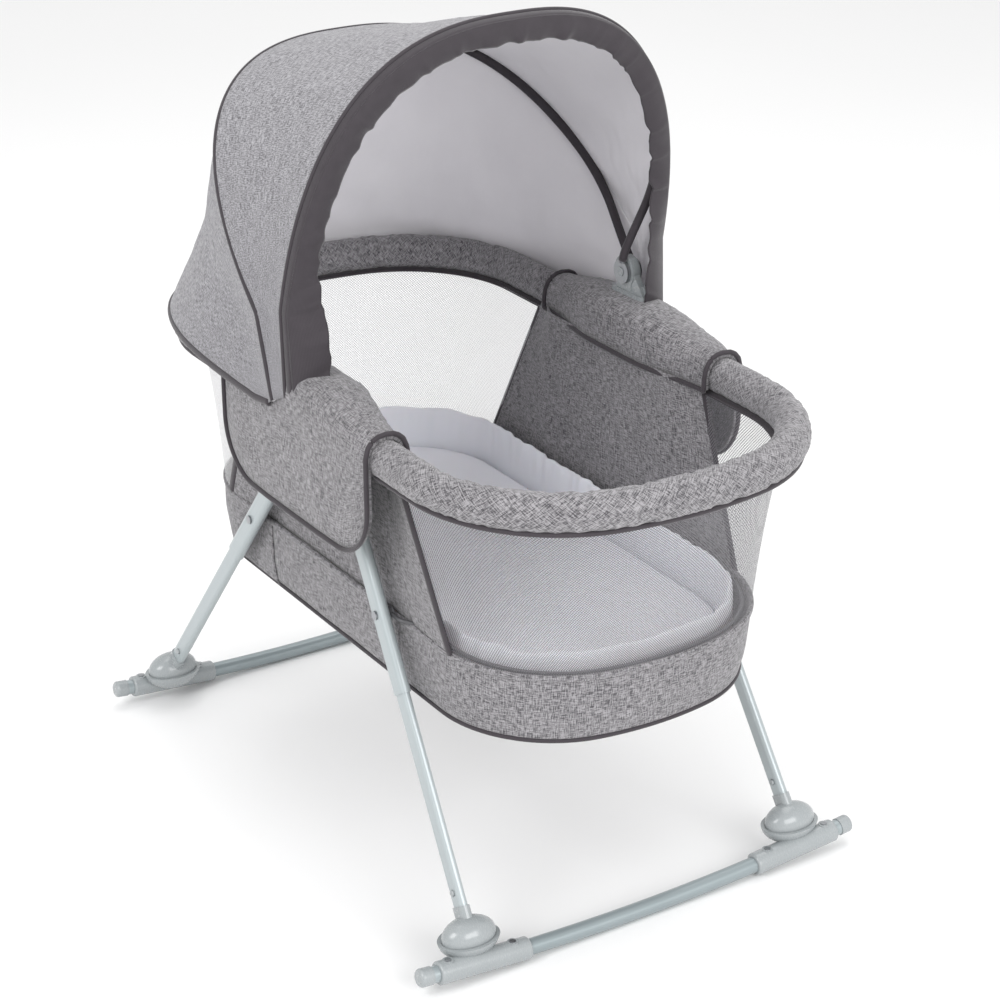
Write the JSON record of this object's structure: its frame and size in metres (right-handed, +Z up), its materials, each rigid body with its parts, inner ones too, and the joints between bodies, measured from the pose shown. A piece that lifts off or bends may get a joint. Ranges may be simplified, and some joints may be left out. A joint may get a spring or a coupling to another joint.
{
  "type": "bassinet on stand",
  "caption": "Oval padded baby bassinet with mesh ends and a fold-back canopy, carried by splayed tube legs on two curved rockers.",
  "frame": {"origin": "on the floor, midway between the two side hubs", "axes": "+X to the foot end, -X to the canopy, +Y to the far side, +Z up"},
  "size_m": [0.9142, 0.6014, 0.9875],
  "materials": {
    "frame_tube": "satin light grey paint",
    "steel_wire": "plain",
    "grey_plastic": "gloss",
    "dark_plastic": "matte",
    "melange_fabric": "woven melange",
    "mesh": "open mesh",
    "lining": "plain weave",
    "charcoal_fabric": "plain weave",
    "screw_steel": "plain"
  },
  "bodies": {
    "hubs": {"hub_far": "grey_plastic", "hub_near": "grey_plastic", "hub_pins": "screw_steel", "flap_far": "melange_fabric", "flap_near": "melange_fabric", "side_panel_far": "melange_fabric", "side_panel_near": "melange_fabric", "tub_middle": "melange_fabric"},
    "head_rail": {"head_rail_tube": "frame_tube", "head_rail_pad": "melange_fabric", "head_mesh": "mesh", "head_tub": "melange_fabric", "head_rail_knuckles": "grey_plastic", "canopy_mounts": "grey_plastic", "canopy_rear_panel": "melange_fabric"},
    "foot_rail": {"foot_rail_tube": "frame_tube", "foot_rail_pad": "melange_fabric", "foot_mesh": "mesh", "foot_tub": "melange_fabric", "foot_rail_knuckles": "grey_plastic"},
    "mid_bow": {"mid_bow": "steel_wire", "canopy_front_panel": "melange_fabric"},
    "front_bow": {"front_bow": "steel_wire", "canopy_skirt": "charcoal_fabric"},
    "mattress": {"mattress_pad": "lining", "mattress_edge": "lining"},
    "foot_legs": {"foot_leg_upper_far": "frame_tube", "foot_leg_upper_near": "frame_tube", "foot_leg_lower_far": "frame_tube", "foot_leg_lower_near": "frame_tube", "foot_ball_far": "grey_plastic", "foot_ball_near": "grey_plastic", "foot_leg_knuckles": "grey_plastic", "foot_leg_rivets": "screw_steel"},
    "foot_hoop": {"foot_floor_hoop": "steel_wire"},
    "foot_rocker": {"foot_rocker_tube": "frame_tube", "foot_rocker_saddles": "grey_plastic", "foot_rocker_caps": "grey_plastic", "foot_saddle_screws": "screw_steel"},
    "foot_snap_far": {"foot_snap_button_far": "grey_plastic"},
    "foot_snap_near": {"foot_snap_button_near": "grey_plastic"},
    "head_legs": {"head_leg_upper_far": "frame_tube", "head_leg_upper_near": "frame_tube", "head_leg_lower_far": "frame_tube", "head_leg_lower_near": "frame_tube", "head_ball_far": "grey_plastic", "head_ball_near": "grey_plastic", "head_leg_knuckles": "grey_plastic", "head_leg_rivets": "screw_steel"},
    "head_hoop": {"head_floor_hoop": "steel_wire"},
    "head_rocker": {"head_rocker_tube": "frame_tube", "head_rocker_saddles": "grey_plastic", "head_rocker_caps": "grey_plastic", "head_saddle_screws": "screw_steel"},
    "head_snap_far": {"head_snap_button_far": "grey_plastic"},
    "head_snap_near": {"head_snap_button_near": "grey_plastic"},
    "fold_button_far": {"fold_button_far": "dark_plastic"},
    "fold_button_near": {"fold_button_near": "dark_plastic"}
  },
  "joints": [
    {"name": "head_rail_fold", "type": "hinge", "parent": "hubs", "child": "head_rail", "pos_m": [0, 0, 0.556], "axis": [0, -1, 0], "range_deg": [0, 66], "deforming": ["flap_far", "flap_near", "side_panel_far", "side_panel_near", "tub_middle", "head_mesh", "head_tub", "foot_mesh", "foot_tub", "mattress_pad", "mattress_edge"]},
    {"name": "foot_rail_fold", "type": "hinge", "parent": "hubs", "child": "foot_rail", "pos_m": [0, 0, 0.556], "axis": [0, 1, 0], "range_deg": [0, 66]},
    {"name": "foot_legs_fold", "type": "hinge", "parent": "hubs", "child": "foot_legs", "pos_m": [0.015, 0, 0.54], "axis": [0, 1, 0], "range_deg": [0, 31]},
    {"name": "head_legs_fold", "type": "hinge", "parent": "hubs", "child": "head_legs", "pos_m": [-0.015, 0, 0.54], "axis": [0, -1, 0], "range_deg": [0, 35.1]},
    {"name": "foot_hoop_fold", "type": "hinge", "parent": "foot_legs", "child": "foot_hoop", "pos_m": [0.1409, 0, 0.35], "axis": [0, 1, 0], "range_deg": [0, 54]},
    {"name": "foot_rocker_swing", "type": "hinge", "parent": "foot_legs", "child": "foot_rocker", "pos_m": [0.343, 0, 0.045], "axis": [0, -1, 0], "range_deg": [0, 90]},
    {"name": "foot_snap_press_far", "type": "slide", "parent": "foot_legs", "child": "foot_snap_far", "axis": [-0.0195, 0.9994, 0.0295], "range_m": [0, 0.0024], "stiffness_N_per_m": 900},
    {"name": "foot_snap_press_near", "type": "slide", "parent": "foot_legs", "child": "foot_snap_near", "axis": [0.0195, 0.9994, -0.0295], "range_m": [0, 0.0024], "stiffness_N_per_m": 900},
    {"name": "head_hoop_fold", "type": "hinge", "parent": "head_legs", "child": "head_hoop", "pos_m": [-0.16124, 0, 0.35], "axis": [0, -1, 0], "range_deg": [0, 50]},
    {"name": "head_rocker_swing", "type": "hinge", "parent": "head_legs", "child": "head_rocker", "pos_m": [-0.396, 0, 0.045], "axis": [0, 1, 0], "range_deg": [0, 90]},
    {"name": "head_snap_press_far", "type": "slide", "parent": "head_legs", "child": "head_snap_far", "axis": [0.0205, 0.9994, 0.0266], "range_m": [0, 0.0024], "stiffness_N_per_m": 900},
    {"name": "head_snap_press_near", "type": "slide", "parent": "head_legs", "child": "head_snap_near", "axis": [-0.0205, 0.9994, -0.0266], "range_m": [0, 0.0024], "stiffness_N_per_m": 900},
    {"name": "fold_button_press_far", "type": "slide", "parent": "hubs", "child": "fold_button_far", "axis": [0, -1, 0], "range_m": [0, 0.0012], "stiffness_N_per_m": 1200},
    {"name": "fold_button_press_near", "type": "slide", "parent": "hubs", "child": "fold_button_near", "axis": [0, 1, 0], "range_m": [0, 0.0012], "stiffness_N_per_m": 1200},
    {"name": "mid_bow_fold", "type": "hinge", "parent": "head_rail", "child": "mid_bow", "pos_m": [-0.003, 0, 0.631], "axis": [0, -1, 0], "range_deg": [0, 38], "deforming": ["canopy_rear_panel", "canopy_front_panel"]},
    {"name": "front_bow_fold", "type": "hinge", "parent": "mid_bow", "child": "front_bow", "pos_m": [-0.003, 0, 0.631], "axis": [0, -1, 0], "range_deg": [0, 54]},
    {"name": "mattress_lift", "type": "slide", "parent": "hubs", "child": "mattress", "axis": [0, 0, 1], "range_m": [0, 0.2]}
  ],
  "couplings": [
    {"joint": "foot_rail_fold", "follows": "head_rail_fold", "ratio": 1},
    {"joint": "foot_legs_fold", "follows": "head_rail_fold", "ratio": 0.46954},
    {"joint": "head_legs_fold", "follows": "head_rail_fold", "ratio": 0.53167},
    {"joint": "foot_hoop_fold", "follows": "head_rail_fold", "ratio": 0.81803},
    {"joint": "head_hoop_fold", "follows": "head_rail_fold", "ratio": 0.75742},
    {"joint": "front_bow_fold", "follows": "mid_bow_fold", "ratio": 1.4208}
  ]
}
